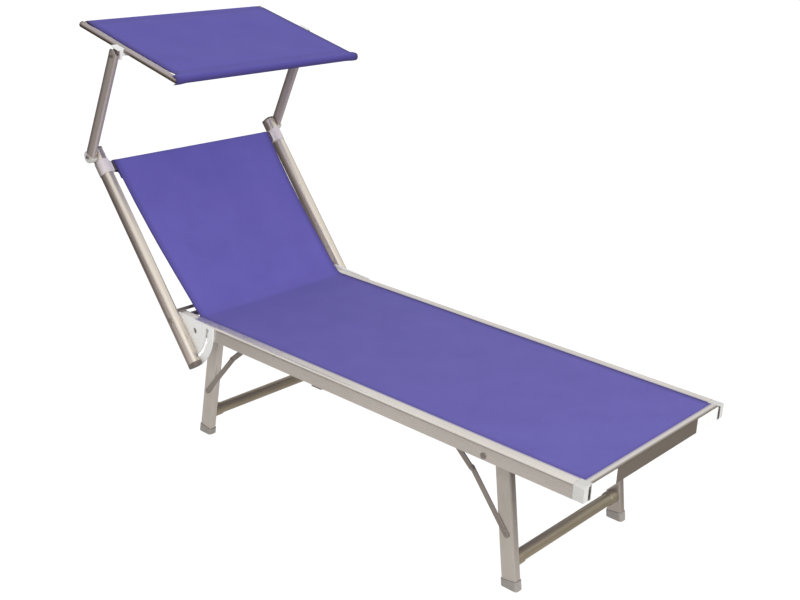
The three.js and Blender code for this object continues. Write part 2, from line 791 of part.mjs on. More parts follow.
// The sling's sleeve goes round the top bar and is sewn back to the sheet below it
function backSling() {
  const half = sleeveFace - socketLength;
  const low = slingOffset;
  const radius = topBarDepth / 2 + clearance;
  const centre = topBarPlace + topBarWidth / 2 - topBarDepth / 2;
  const foot = topBarPlace - topBarWidth / 2 + topBarDepth / 2;
  const seam = topBarPlace - topBarWidth / 2 - hemLap;
  const quarter = Math.PI / 2;
  const outer = [
    ...slingCurve(slingThickness).filter((point) => point.x < seam - 2 * slingThickness),
    new THREE.Vector2(seam - slingThickness, low),
    ...arcPoints(foot, 0, radius + slingThickness, hemTurnStart, -quarter, hemTurnSteps),
    ...arcPoints(centre, 0, radius + slingThickness, -quarter, quarter, 2 * roundSteps),
    ...slingCurve(0).reverse(),
  ];
  const inner = [
    new THREE.Vector2(seam + 2 * slingThickness, low),
    new THREE.Vector2(seam + slingThickness, low - slingThickness / 2),
    ...arcPoints(foot, 0, radius, hemTurnStart, -quarter, hemTurnSteps),
    ...arcPoints(centre, 0, radius, -quarter, quarter, 2 * roundSteps),
  ];
  const trims = slingTrims(slingBend[0][0], centre + radius + slingThickness);
  return cut(extrudeX(shapeOf(outer, inner), -half, half), ...trims);
}

function armBolt() {
  const head = armOuter + clearance + elbowWall + clearance;
  const nut = backRailInner - clearance;
  return turnedX([
    [nut - nutThickness, nutRadius], [nut, nutRadius], [nut, boltRadius],
    [head, boltRadius], [head, boltHeadRadius],
    [head + boltHeadThickness / 2, boltHeadRadius], [head + boltHeadThickness, boltRadius],
  ], armPivotPlace, 0);
}

// Canopy arms, drawn along y in a frame at their lower pivot

function arm() {
  const outline = roundedRectPoints(armX, 0, armThickness, armDepth, armEdgeRadius);
  const hollow = roundedRectPoints(
    armX, 0, armThickness - 2 * armWall, armDepth - 2 * armWall, armEdgeRadius - armWall);
  const radius = armDepth / 2;
  const through = [armInner - overrun, armOuter + overrun];
  const tube = extrudeY(shapeOf(outline, hollow), -armTail, armLength + radius);
  const shoulder = cut(
    box(through[0], armLength, -radius - overrun, through[1], armLength + radius + overrun, radius + overrun),
    cylinderX(through[0] - overrun, through[1] + overrun, radius, armLength, 0, 2 * ringSteps));
  return cut(
    tube, shoulder,
    cylinderX(...through, boltRadius + clearance, 0, 0),
    cylinderX(...through, boltRadius + clearance, armLength, 0));
}

function elbow() {
  const grow = clearance + elbowWall;
  const radius = armDepth / 2 + grow;
  const inner = armInner - grow;
  const outer = armOuter + grow;
  const side = [
    ...arcPoints(0, 0, radius, Math.PI / 2, 3 * Math.PI / 2, 2 * roundSteps),
    new THREE.Vector2(elbowLength, -radius),
    new THREE.Vector2(elbowLength, radius),
  ];
  const body = extrudeX(shapeOf(side), inner, outer);
  const boss = cylinderX(backRailOuter + clearance, inner + clearance, elbowBossRadius, 0, 0);
  const seat = roundedRectPoints(
    armX, 0, armThickness + 2 * clearance, armDepth + 2 * clearance, armEdgeRadius + clearance);
  return cut(
    join(body, boss),
    extrudeY(shapeOf(seat), -armTail - clearance, elbowLength + overrun),
    cylinderX(backRailOuter - overrun, outer + overrun, boltRadius + clearance, 0, 0));
}

// Canopy, drawn flat in a frame at the arms' upper pivot: y to the back edge

const frontTubeY = -canopyForward + canopyTubeRadius + clearance + slingThickness;
const backTubeY = canopyBack - canopyTubeRadius - clearance - slingThickness;

// A tube along y with domed ends and a drain hole underneath
function sideTube() {
  const dome = canopyTubeRadius / 2;
  const wall = canopyTubeWall;
  const profile = (radius, start, end, rise) => [
    new THREE.Vector2(0, start),
    new THREE.Vector2(radius - rise, start),
    new THREE.Vector2(radius, start + rise),
    new THREE.Vector2(radius, end - rise),
    new THREE.Vector2(radius - rise, end),
    new THREE.Vector2(0, end),
  ];
  const solid = new THREE.LatheGeometry(
    profile(canopyTubeRadius, -canopyForward, canopyBack, dome), ringSteps);
  const hollow = new THREE.LatheGeometry(
    profile(canopyTubeRadius - wall, wall - canopyForward, canopyBack - wall, dome), ringSteps);
  const drain = new THREE.CylinderGeometry(
    canopyDrainRadius, canopyDrainRadius, canopyTubeRadius, ringSteps / 2);
  drain.rotateX(Math.PI / 2).translate(0, canopyDrainPlace, -canopyTubeRadius);
  return cut(solid, hollow, drain).translate(canopyTubeX, 0, canopyTubeRise);
}

// A cross tube whose ends are coped to the side tubes
function crossTube(y) {
  const ring = shapeOf(
    circlePoints(y, canopyTubeRise, canopyTubeRadius),
    circlePoints(y, canopyTubeRise, canopyTubeRadius - canopyTubeWall));
  const tube = extrudeX(ring, -canopyTubeX, canopyTubeX);
  const copes = sides.map(([, sign]) => new THREE.CylinderGeometry(
    canopyTubeRadius + clearance, canopyTubeRadius + clearance, 4 * canopyTubeRadius, 2 * ringSteps)
    .translate(sign * canopyTubeX, y, canopyTubeRise));
  return cut(tube, ...copes);
}

function canopySling() {
  const low = canopyTubeRise + canopyTubeRadius + clearance;
  const half = canopyTubeX - canopyTubeRadius - clearance;
  const sheet = box(-canopyTubeX, frontTubeY, low, canopyTubeX, backTubeY, low + slingThickness);
  const hems = [frontTubeY, backTubeY].map((y) => extrudeX(shapeOf(
    circlePoints(y, canopyTubeRise, canopyTubeRadius + clearance + slingThickness, 2 * ringSteps),
    circlePoints(y, canopyTubeRise, canopyTubeRadius + clearance, 2 * ringSteps)), -half, half));
  return join(sheet, ...hems);
}

// Knuckle: a clip round the side tube, with an ear inside the arm and a hood over its top
function knuckle() {
  const radius = canopyTubeRadius + clearance;
  const open = Math.asin((knuckleTop - canopyTubeRise) / radius);
  const slotInner = armInner - clearance;
  const outer = armOuter - knuckleHoodInset;
  const inner = canopyTubeX - knuckleInner;
  const slotTop = armDepth / 2 + clearance;
  const corner = (x, z) => new THREE.Vector2(x, z);
  const section = [
    corner(inner, knuckleBase), corner(slotInner - knuckleEar, knuckleBase),
    corner(slotInner - knuckleEar, -knuckleDrop), corner(slotInner, -knuckleDrop),
    corner(slotInner, slotTop), corner(outer, slotTop),
    corner(outer, knuckleTop - knuckleChamfer), corner(outer - knuckleChamfer, knuckleTop),
    ...arcPoints(canopyTubeX, canopyTubeRise, radius, open, -Math.PI - open, 3 * roundSteps),
    corner(inner, knuckleTop),
  ];
  const body = extrudeY(shapeOf(section), -knuckleLength / 2, knuckleLength / 2);
  const hole = cylinderX(
    slotInner - knuckleEar + 2 * clearance, armOuter + overrun, boltRadius + clearance, 0, 0);
  return cut(body, hole);
}

function tiltBolt() {
  const head = armOuter + clearance;
  return turnedX([
    [armInner - knuckleEar + 2 * clearance, boltRadius], [head, boltRadius],
    [head, tiltBoltHeadRadius], [head + tiltBoltHeadThickness / 2, tiltBoltHeadRadius],
    [head + tiltBoltHeadThickness, boltRadius],
  ], 0, 0);
}

// Assembly

const lounger = new THREE.Group();
const seat = groupAt(lounger, 0, 0, 0);
addPair(seat, 'seat_rail', seatRail(), finish.aluminium);
addPair(seat, 'rail_foot_cap', footCap(), finish.greyPlastic);
addPair(seat, 'rail_head_cap', headCap(), finish.darkPlastic);
addMesh(seat, 'foot_cross_rail', crossRail(), finish.darkAluminium);
addPair(seat, 'corner_connector', cornerConnector(), finish.whitePlastic);
addMesh(seat, 'foot_edge_strip', edgeStrip(), finish.aluminium);
addMesh(seat, 'seat_sling', seatSling(), finish.fabric);
addPair(seat, 'recline_quadrant', quadrant(), finish.whitePlastic);
addMesh(seat, 'front_leg_axle', legAxle(frontLegPlace), finish.steel);
addMesh(seat, 'rear_leg_axle', legAxle(rearLegPlace), finish.steel);
addMesh(seat, 'backrest_axle', backAxle(), finish.darkAluminium);

addLegs(seat, 'front', frontLegPlace, 1);
addLegs(seat, 'rear', rearLegPlace, -1);
addStays(seat, 'front', frontLegPlace, 1);
addStays(seat, 'rear', rearLegPlace, -1);

const back = groupAt(seat, seatLength, axleHeight, backAngle);
addPair(back, 'back_rail', backRail(), finish.aluminium);
addPair(back, 'back_rail_top_cap', backTopCap(), finish.darkPlastic);
addPair(back, 'back_rail_foot_plug', backFootPlug(), finish.whitePlastic);
addMesh(back, 'back_top_bar', topBar(), finish.darkAluminium);
addMesh(back, 'back_lower_bar', lowerBar(), finish.darkAluminium);
addPair(back, 'top_bar_sleeve', topSleeve(), finish.whitePlastic);
addMesh(back, 'back_sling', backSling(), finish.fabric);
addPair(back, 'arm_pivot_bolt', armBolt(), finish.steel);

const arms = groupAt(back, armPivotPlace, 0, armAngle - backAngle);
addPair(arms, 'canopy_arm', arm(), finish.aluminium);
addPair(arms, 'arm_elbow', elbow(), finish.greyPlastic);

const canopy = groupAt(arms, armLength, 0, canopyAngle - armAngle);
addPair(canopy, 'canopy_side_tube', sideTube(), finish.aluminium);
addMesh(canopy, 'canopy_front_tube', crossTube(frontTubeY), finish.aluminium);
addMesh(canopy, 'canopy_back_tube', crossTube(backTubeY), finish.aluminium);
addMesh(canopy, 'canopy_sling', canopySling(), finish.fabric);
addPair(canopy, 'canopy_knuckle', knuckle(), finish.whitePlastic);
addPair(canopy, 'canopy_tilt_bolt', tiltBolt(), finish.steel);

// The origin lies under the middle of the whole box, on the floor
lounger.updateMatrixWorld(true);
const middle = new THREE.Box3().setFromObject(lounger, true).getCenter(new THREE.Vector3());
seat.position.y = -middle.y;

export default lounger;
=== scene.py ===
# Looks of the sun lounger with canopy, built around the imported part.
# Metres, in the part's own frame: +Z up, Y from the foot end to the head, X across.
# Colours of surfaces are screen values from 0 to 255.
import json
import math

import bpy
import numpy as np
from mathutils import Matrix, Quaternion, Vector

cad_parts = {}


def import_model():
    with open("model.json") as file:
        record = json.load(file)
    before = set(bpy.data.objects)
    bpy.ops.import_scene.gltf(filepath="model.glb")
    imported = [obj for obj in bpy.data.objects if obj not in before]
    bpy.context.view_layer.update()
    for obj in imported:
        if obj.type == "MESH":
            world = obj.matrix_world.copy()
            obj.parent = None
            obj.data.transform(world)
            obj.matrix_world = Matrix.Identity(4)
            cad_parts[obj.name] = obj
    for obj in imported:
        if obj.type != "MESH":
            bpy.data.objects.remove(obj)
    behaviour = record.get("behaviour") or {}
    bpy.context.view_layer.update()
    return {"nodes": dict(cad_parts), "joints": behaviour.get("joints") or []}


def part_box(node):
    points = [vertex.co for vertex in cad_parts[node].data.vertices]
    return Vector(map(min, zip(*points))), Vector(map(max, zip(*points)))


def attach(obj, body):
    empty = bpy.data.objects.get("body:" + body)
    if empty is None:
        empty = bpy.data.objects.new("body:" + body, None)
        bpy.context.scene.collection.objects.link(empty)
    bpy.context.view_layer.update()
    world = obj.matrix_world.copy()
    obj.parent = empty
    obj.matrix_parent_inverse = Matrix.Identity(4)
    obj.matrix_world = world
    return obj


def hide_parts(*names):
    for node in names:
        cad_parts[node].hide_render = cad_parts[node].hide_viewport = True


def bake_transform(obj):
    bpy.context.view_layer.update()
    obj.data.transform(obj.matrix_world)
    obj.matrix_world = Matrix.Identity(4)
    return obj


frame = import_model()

nodes = frame["nodes"]
joints = {joint["name"]: joint for joint in frame["joints"]}
SIDES = ("left", "right")
ACROSS = Vector((1, 0, 0))
AHEAD = Vector((0, 1, 0))
UP = Vector((0, 0, 1))


# Places taken from the frame


def centre(name):
    low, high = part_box(name)
    return (low + high) / 2


def slope(a, b):
    """The angle of the line from a to b, seen from the side."""
    return math.atan2(b.z - a.z, b.y - a.y)


def ahead(angle):
    """The direction along a line with this slope."""
    return Vector((0, math.cos(angle), math.sin(angle)))


def over(angle):
    """The direction square to a line with this slope, on its upper side."""
    return Vector((0, -math.sin(angle), math.cos(angle)))


def extent(name, pivot, angle):
    """A node's reach across, along and over a sloping line, each as (lowest, highest), to 0.1 mm."""
    points = [vertex.co - pivot for vertex in nodes[name].data.vertices]
    reaches = [[round(point.dot(axis), 4) for point in points]
               for axis in (ACROSS, ahead(angle), over(angle))]
    return [(min(reach), max(reach)) for reach in reaches]


HINGE = Vector(joints["backrest_recline"]["pos_m"])
ARM_PIVOT = Vector(joints["canopy_arm_swing"]["pos_m"])
CANOPY_PIVOT = Vector(joints["canopy_tilt"]["pos_m"])
BACK_ANGLE = slope(HINGE, ARM_PIVOT)
ARM_ANGLE = slope(ARM_PIVOT, CANOPY_PIVOT)
CANOPY_DEGREES = math.degrees(slope(centre("canopy_front_tube"), centre("canopy_back_tube")))
CANOPY_ANGLE = math.radians(round(CANOPY_DEGREES, 1))

# Camera of the photograph
CAMERA_PLACE = Vector((-2.3074, -2.0800, 1.6645))
CAMERA_TARGET = Vector((0, -0.0619, 0.5122))
CAMERA_ROLL = math.radians(2.5)
CAMERA_LENS = 54.54

# Light, and what the metal reflects
WHITE_LIGHT = (1.0, 1.0, 1.0, 1.0)
LIGHT_ABOVE = (0.62, 0.62, 0.62, 1.0)
LIGHT_BESIDE = (1.0, 1.0, 1.0, 1.0)
LIGHT_BLEND_TOP = 0.9
LAMP_PLACE = Vector((-1.5, -3.9, 2.1))
LAMP_TARGET = Vector((0, 0, 0.6))
LAMP_SIZE = 2.0
LAMP_POWER = 80
FLOOR_SIZE = 80
FLOOR_COLOUR = (0.7, 0.7, 0.7, 1.0)
FLOOR_SHADOW = 0.12
SKY_LOW = (0.20, 0.17, 0.14, 1.0)
SKY_HIGH = (1.0, 0.99, 0.97, 1.0)
SKY_BLEND_TOP = 0.45
FLOOR_NEAR = (0.80, 0.76, 0.72, 1.0)
FLOOR_SHADED = (0.22, 0.18, 0.14, 1.0)
FLOOR_FAR = (0.10, 0.08, 0.07, 1.0)
FAR_FROM, FAR_TO = 0.9, 2.2
SHADED_FROM, SHADED_TO = 0.3, 1.4

# Softened edges of the CAD nodes
WELD_DISTANCE = 0.00002
BEVEL_WIDTH = 0.0004
BEVEL_ANGLE = math.radians(50)
NORMAL_WEIGHT = 90

# Grain of the materials: noise cells in a metre, and depths
METAL_GRAIN = 900.0
METAL_CLOUDS = 7.0
BRUSH_DEPTH = 0.00005
PLASTIC_CLOUDS = 22.0
CLOTH_GRAIN = 700.0
CLOTH_CLOUDS = 9.0
WEAVE_DEPTH = 0.0002
SEWN_DEPTH = 0.0004

# How much of the second colour the patches show, and how far the grain moves the roughness
METAL_PATCHES = 0.45
METAL_WEAR = 0.6
METAL_ROUGHNESS = (-0.07, 0.09)
PLASTIC_PATCHES = 0.35
PLASTIC_ROUGHNESS = (-0.06, 0.08)
PLASTIC_DEPTH = 0.15

# Brushed finish: the grain is drawn out along one axis
ALONG_X = (0.03, 1.0, 1.0)
ALONG_Y = (1.0, 0.03, 1.0)
ALONG_Z = (1.0, 1.0, 0.03)
EVENLY = (1.0, 1.0, 1.0)

# Cloth
CLOTH = 0.0012
CLOTH_GAP = 0.0004
HEM_CLOTH = 0.0021
HEM_WIDTH = 0.016
THREAD_PITCH = 0.0022
STITCH_PITCH = 0.0045
STITCH_HALF = 0.0005
STITCH_SOFT = 0.0004
STITCH_FROM_SEAM = 0.004
STITCH_FROM_SIDE = 0.013
SEAM_TO_BAR = 0.030
SIDE_COLUMNS = 5
MIDDLE_COLUMNS = 26

# Cloth's colour: shares of the darker shade, and the borders as (from, to) or (from, to, share)
WEAVE_SHADE = 0.14
GRAIN_SHADE = 0.4
CLOUD_SHADE = (-0.12, 0.2)
FOLD_SHADE = 0.15
STITCH_SHADE = 0.5
FOLD_LINE = (-0.001, 0.0015)
# Painted shade where the cloth turns round its bar, and painted shadow along the side edges beside the
# rails
TURNED_UNDER_SHADE = (-SEAM_TO_BAR - 0.018, -SEAM_TO_BAR - 0.004)
EDGE_SHADOW_FADE = (0.001, 0.022, 0.55)
EDGE_SHADOW_LINE = (0.003, 0.006, 0.75)

# Waves of a stretched cloth: radians in a metre, and how far they wander
WAVES_ACROSS, WAVES_ALONG = 61, 83
WANDER_ACROSS, WANDER_ALONG = 17, 23


def pair(name):
    return [f"{name}_{side}" for side in SIDES]


# Material tools


class Tree:
    """The nodes of a material or world, with short calls to add and join them."""

    def __init__(self, owner):
        owner.use_nodes = True
        self.owner = owner
        self.nodes = owner.node_tree.nodes
        self.links = owner.node_tree.links
        self.shader = self.nodes.get("Principled BSDF")
        self.places = self.add("ShaderNodeTexCoord")

    def add(self, kind, settings=None, **inputs):
        node = self.nodes.new(kind)
        for key, value in (settings or {}).items():
            setattr(node, key, value)
        for key, value in inputs.items():
            self.put(node, key.replace("_", " "), value)
        return node

    def put(self, node, key, value):
        """Links an output to a socket, or sets the socket's own value."""
        if hasattr(value, "is_output"):
            self.links.new(value, node.inputs[key])
        else:
            node.inputs[key].default_value = value

    def math(self, operation, a, b=0.0):
        node = self.add("ShaderNodeMath", {"operation": operation})
        self.put(node, 0, a)
        self.put(node, 1, b)
        return node.outputs[0]

    def split(self, source):
        return self.add("ShaderNodeSeparateXYZ", Vector=source).outputs

    def stretched(self, source, scale):
        return self.add("ShaderNodeMapping", Vector=source, Scale=scale).outputs[0]

    def noise(self, source, scale, detail):
        node = self.add("ShaderNodeTexNoise", Vector=source, Scale=scale, Detail=detail, Roughness=0.55)
        return node.outputs["Fac"]

    def spread(self, value, low, high, start=0.3, end=0.7):
        """Moves a value between start and end onto low to high."""
        node = self.add("ShaderNodeMapRange")
        for key, number in (("Value", value), ("From Min", start), ("From Max", end),
                            ("To Min", low), ("To Max", high)):
            self.put(node, key, number)
        return node.outputs[0]

    def above(self, value, start, end, most=1.0):
        """0 below the start, and the most above the end."""
        return self.spread(value, 0.0, most, start, end)

    def below(self, value, start, end, most=1.0):
        """The most below the start, and 0 above the end."""
        return self.spread(value, most, 0.0, start, end)

    def near(self, value, middle, half, soft):
        """1 within half of the middle, and down to 0 over the soft length beyond."""
        away = self.math("ABSOLUTE", self.math("SUBTRACT", value, middle))
        return self.below(away, half, half + soft)

    def mix(self, share, a, b):
        node = self.add("ShaderNodeMix", {"data_type": "RGBA"})
        self.put(node, 0, share)
        self.put(node, 6, a)
        self.put(node, 7, b)
        return node.outputs[2]

    def mix_shaders(self, share, first, second):
        node = self.add("ShaderNodeMixShader")
        self.put(node, 0, share)
        self.put(node, 1, first)
        self.put(node, 2, second)
        return node.outputs[0]

    def along(self, axis, origin=Vector((0, 0, 0))):
        """How far a point of the object lies along an axis from the origin."""
        node = self.add("ShaderNodeVectorMath", {"operation": "DOT_PRODUCT"})
        self.put(node, 0, self.places.outputs["Object"])
        self.put(node, 1, tuple(axis))
        return self.math("SUBTRACT", node.outputs["Value"], axis.dot(origin))

    def away(self):
        """How far a point of the object lies from the lounger's middle plane."""
        return self.math("ABSOLUTE", self.along(ACROSS))

    def bump(self, height, distance, strength, under=None):
        node = self.add("ShaderNodeBump", Height=height, Distance=distance, Strength=strength)
        if under is not None:
            self.put(node, "Normal", under)
        return node.outputs[0]

    def surface(self, **inputs):
        for key, value in inputs.items():
            self.put(self.shader, key.replace("_", " "), value)
        return self.owner


def material_tree(name):
    return Tree(bpy.data.materials.new(name))


def linear(colour):
    """A screen colour as the shader takes it."""
    def channel(value):
        value = value / 255
        return value / 12.92 if value <= 0.04045 else ((value + 0.055) / 1.055) ** 2.4
    return (*(channel(value) for value in colour), 1.0)


def banded(tree, tint, painted_shade_bands):
    """Paints shade and reflections onto the faces of a profile, from pairs of a share and a colour."""
    for share, colour in (painted_shade_bands(tree) if painted_shade_bands else ()):
        tint = tree.mix(share, tint, linear(colour))
    return tint


def metal(name, colour, dark, roughness, grain_axes, painted_shade_bands=None, shine=0.85):
    """Satin aluminium or steel, finely brushed along one axis, with a few duller patches."""
    tree = material_tree(name)
    source = tree.places.outputs["Object"]
    grain = tree.noise(tree.stretched(source, grain_axes), METAL_GRAIN, 2.0)
    cloud = tree.noise(source, METAL_CLOUDS, 4.0)
    tint = tree.mix(tree.spread(cloud, 0.0, METAL_PATCHES), linear(colour), linear(dark))
    wear = tree.math("ADD", grain, tree.math("MULTIPLY", cloud, METAL_WEAR))
    glossier, duller = METAL_ROUGHNESS
    return tree.surface(
        Base_Color=banded(tree, tint, painted_shade_bands),
        Metallic=shine,
        Roughness=tree.spread(wear, roughness + glossier, roughness + duller, 0.6, 1.0),
        Normal=tree.bump(grain, BRUSH_DEPTH, 0.5),
    )


def plastic(name, colour, dark, roughness, grain_size, painted_shade_bands=None):
    """Moulded plastic with a fine grain and faint marks."""
    tree = material_tree(name)
    source = tree.places.outputs["Object"]
    grain = tree.noise(source, 1 / grain_size, 3.0)
    cloud = tree.noise(source, PLASTIC_CLOUDS, 4.0)
    tint = tree.mix(tree.spread(cloud, 0.0, PLASTIC_PATCHES, 0.45, 0.75), linear(colour), linear(dark))
    glossier, duller = PLASTIC_ROUGHNESS
    return tree.surface(
        Base_Color=banded(tree, tint, painted_shade_bands),
        Roughness=tree.spread(grain, roughness + glossier, roughness + duller),
        Normal=tree.bump(grain, grain_size * PLASTIC_DEPTH, 0.6),
    )


def stitch_rows(tree, lengths, seam, side):
    """Two rows of stitches, one beside the seam and one beside each side edge."""
    from_seam = tree.math("ABSOLUTE", tree.math("ADD", seam, STITCH_FROM_SEAM))
    from_side = tree.math("ABSOLUTE", tree.math("SUBTRACT", side, STITCH_FROM_SIDE))
    stitches = 0.0
    for distance, run in ((from_seam, "X"), (from_side, "Y")):
        line = tree.below(distance, STITCH_HALF, STITCH_HALF + STITCH_SOFT)
        turn = tree.math("MULTIPLY", lengths[run], 2 * math.pi / STITCH_PITCH)
        beat = tree.above(tree.math("SINE", turn), -0.5, 0.0)
        stitches = tree.math("MAXIMUM", stitches, tree.math("MULTIPLY", line, beat))
    return stitches


def sling_fabric(name, colour, dark, edge, hem_and_turn_shade):
    """Woven sling cloth. Its weave and stitches follow the cloth's own lengths, in metres."""
    tree = material_tree(name)
    source = tree.add("ShaderNodeUVMap", {"uv_map": "lengths"}).outputs[0]
    lengths = tree.split(source)
    borders = tree.split(tree.add("ShaderNodeUVMap", {"uv_map": "borders"}).outputs[0])
    side, seam = borders["X"], borders["Y"]
    threads = [tree.math("SINE", tree.math("MULTIPLY", lengths[axis], 2 * math.pi / THREAD_PITCH))
               for axis in ("X", "Y")]
    weave = tree.math("MULTIPLY", *threads)
    fine = tree.noise(tree.stretched(source, (1.0, 0.25, 1.0)), CLOTH_GRAIN, 2.0)
    cloud = tree.noise(source, CLOTH_CLOUDS, 5.0)
    woven = tree.math("MULTIPLY", weave, WEAVE_SHADE)
    shade = tree.math("ADD", woven, tree.spread(fine, 0.0, GRAIN_SHADE))
    shade = tree.math("ADD", shade, tree.spread(cloud, *CLOUD_SHADE))
    tint = tree.mix(shade, linear(colour), linear(dark))
    folded = tree.below(seam, *FOLD_LINE)
    tint = tree.mix(tree.math("MULTIPLY", folded, FOLD_SHADE), tint, linear(hem_and_turn_shade))
    # Painted shade where the cloth turns round its bar
    tint = tree.mix(tree.below(seam, *TURNED_UNDER_SHADE), tint, linear(hem_and_turn_shade))
    # Painted shadow along the side edges, beside the rails
    for border in (EDGE_SHADOW_FADE, EDGE_SHADOW_LINE):
        tint = tree.mix(tree.below(side, *border), tint, linear(edge))
    stitches = stitch_rows(tree, lengths, seam, side)
    tint = tree.mix(tree.math("MULTIPLY", stitches, STITCH_SHADE), tint, linear(hem_and_turn_shade))
    height = tree.math("ADD", weave, tree.math("MULTIPLY", fine, 0.5))
    sewn = tree.bump(tree.math("SUBTRACT", folded, stitches), SEWN_DEPTH, 0.4)
    return tree.surface(
        Base_Color=tint,
        Roughness=0.85,
        Specular_IOR_Level=0.2,
        Sheen_Weight=0.06,
        Sheen_Roughness=0.5,
        Normal=tree.bump(height, WEAVE_DEPTH, 0.5, sewn),
    )


# Cloth tools


def share_of(value, start, end):
    """Smooth share from 0 at the start to 1 at the end."""
    share = min(max((value - start) / (end - start), 0.0), 1.0)
    return share * share * (3 - 2 * share)


def on_line(pivot, angle, along, height):
    """A point (y, z) at a place along a sloping line through a pivot, and a height over it."""
    return (pivot.y + along * math.cos(angle) - height * math.sin(angle),
            pivot.z + along * math.sin(angle) + height * math.cos(angle))


def on_back(along, height):
    return on_line(HINGE, BACK_ANGLE, along, height)


def on_canopy(along, height):
    return on_line(CANOPY_PIVOT, CANOPY_ANGLE, along, height)


def bezier(knots, steps):
    points = []
    for i in range(steps + 1):
        t = i / steps
        weights = ((1 - t) ** 3, 3 * t * (1 - t) ** 2, 3 * t * t * (1 - t), t ** 3)
        points.append(tuple(sum(weight * knot[axis] for weight, knot in zip(weights, knots))
                            for axis in (0, 1)))
    return points


def arc(middle, radius, start, end, steps):
    return [(middle[0] + radius * math.cos(start + (end - start) * i / steps),
             middle[1] + radius * math.sin(start + (end - start) * i / steps))
            for i in range(steps + 1)]


def lengths_along(path):
    """How far each point of a path lies from its first one."""
    lengths = [0.0]
    for a, b in zip(path, path[1:]):
        lengths.append(lengths[-1] + (b - a).length)
    return lengths


def smooth_path(points, step, fine, reach):
    """Points along a line through the given (y, z): fine steps near both ends, longer ones between."""
    points = [Vector((0, y, z)) for y, z in points]
    lengths = lengths_along(points)
    total = lengths[-1]
    first, last = reach
    stops = [0.0]
    while stops[-1] < total - 1e-6:
        near_end = stops[-1] < first or stops[-1] > total - last
        stops.append(min(stops[-1] + (fine if near_end else step), total))
    found = []
    for place in stops:
        k = min(max(np.searchsorted(lengths, place) - 1, 0), len(points) - 2)
        share = (place - lengths[k]) / (lengths[k + 1] - lengths[k])
        found.append(points[k].lerp(points[k + 1], share))
    return found


def column_places(left, right):
    """Places across a cloth, closer together in its hems."""
    steps = [HEM_WIDTH * i / SIDE_COLUMNS for i in range(SIDE_COLUMNS + 1)]
    inner_left, inner_right = HEM_WIDTH - left, right - HEM_WIDTH
    width = inner_right - inner_left
    middle = [inner_right - width * i / MIDDLE_COLUMNS for i in range(1, MIDDLE_COLUMNS)]
    return [right - step for step in steps] + middle + [step - left for step in reversed(steps)]


def ripple(x, along):
    """Faint waves of a sewn and stretched cloth."""
    lengthwise = math.sin(x * WAVES_ACROSS + 1.7 * math.sin(along * WANDER_ALONG))
    crosswise = math.sin(along * WAVES_ALONG + 2.1 * math.sin(x * WANDER_ACROSS))
    return (lengthwise + crosswise) / 2


def sheet_faces(rows, columns):
    """Faces of a closed thin solid: an upper and a lower grid of points, and strips round their rims."""
    below = rows * columns
    faces = []
    for i in range(rows - 1):
        for j in range(columns - 1):
            a, b = i * columns + j, i * columns + j + 1
            c, d = b + columns, a + columns
            faces.append((a, b, c, d))
            faces.append((d + below, c + below, b + below, a + below))
    for i in range(rows - 1):
        for j in (0, columns - 1):
            a, d = i * columns + j, (i + 1) * columns + j
            quad = (a, d, d + below, a + below)
            faces.append(quad if j == 0 else quad[::-1])
    for j in range(columns - 1):
        for i in (0, rows - 1):
            a, b = i * columns + j, i * columns + j + 1
            quad = (b, a, a + below, b + below)
            faces.append(quad if i == 0 else quad[::-1])
    return faces


def cloth(name, path, shape, material):
    """A closed thin solid along a path in the lounger's middle plane, with its length and area.

    The shape gives, by place: half widths (left, right), thickness, lift, and the border lengths
    that the material reads (from the side edge, from the seam)."""
    along = lengths_along(path)
    total = along[-1]
    last = len(path) - 1
    upper, lower, sizes, borders = [], [], [], []
    area = 0.0
    for i, point in enumerate(path):
        run = path[min(i + 1, last)] - path[max(i - 1, 0)]
        normal = Vector((0, -run.z, run.y)).normalized()
        left, right = shape.halves(along[i], total)
        area += (left + right) * (along[min(i + 1, last)] - along[i])
        for x in column_places(left, right):
            edge = right - x if x > 0 else x + left
            thick = shape.thickness(along[i], edge / HEM_WIDTH)
            middle = point + Vector((x, 0, 0)) + normal * shape.lift(x, along[i], total)
            upper.append(middle + normal * (thick / 2))
            lower.append(middle - normal * (thick / 2))
            sizes.append((x, along[i]))
            borders.append(shape.borders(edge, along[i], total))
    mesh = bpy.data.meshes.new(name)
    mesh.from_pydata(upper + lower, [], sheet_faces(len(path), len(upper) // len(path)))
    mesh.validate()
    for layer_name, values in (("lengths", sizes), ("borders", borders)):
        layer = mesh.uv_layers.new(name=layer_name)
        for loop in mesh.loops:
            layer.data[loop.index].uv = values[loop.vertex_index % len(upper)]
    for polygon in mesh.polygons:
        polygon.use_smooth = True
    mesh.materials.append(material)
    piece = bpy.data.objects.new(name, mesh)
    bpy.context.scene.collection.objects.link(piece)
    return piece, total, area


# Sling of seat and back: one cloth from the foot end, up the backrest and round its top bar

_, (BAR_START, BAR_END), (BAR_LOW, BAR_HIGH) = extent("back_top_bar", HINGE, BACK_ANGLE)
BAR_RADIUS = (BAR_HIGH - BAR_LOW) / 2
RAIL_INNER = round(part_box("seat_rail_right")[0].x, 4)
SEAT_HALF = RAIL_INNER + 0.0035
BACK_HALF = RAIL_INNER - 0.001
TOP_HALF = extent("back_sling", HINGE, BACK_ANGLE)[0][1]
SLING_BEND = ((-0.020, 0.043), (0.080, 0.038), (0.220, 0.0101), (0.440, 0.0101))
SEAM_LAP = 0.026
FOLD_ROUND = 0.022
BACK_REACH = 0.527
WRAP_LENGTH = 0.11
SLING_SAG = 0.0025
BACK_SAG_MORE = 1.6
SLING_RIPPLE = 0.0004
SLING_STEP = 0.006
SLING_FINE_STEP = 0.003
SLING_FINE_REACH = (0.0, 0.2)
NARROWS_BEFORE, NARROWS_AFTER = 0.03, 0.01
HEM_STARTS_OVER = 0.03
LAP_SLOPE = 0.012


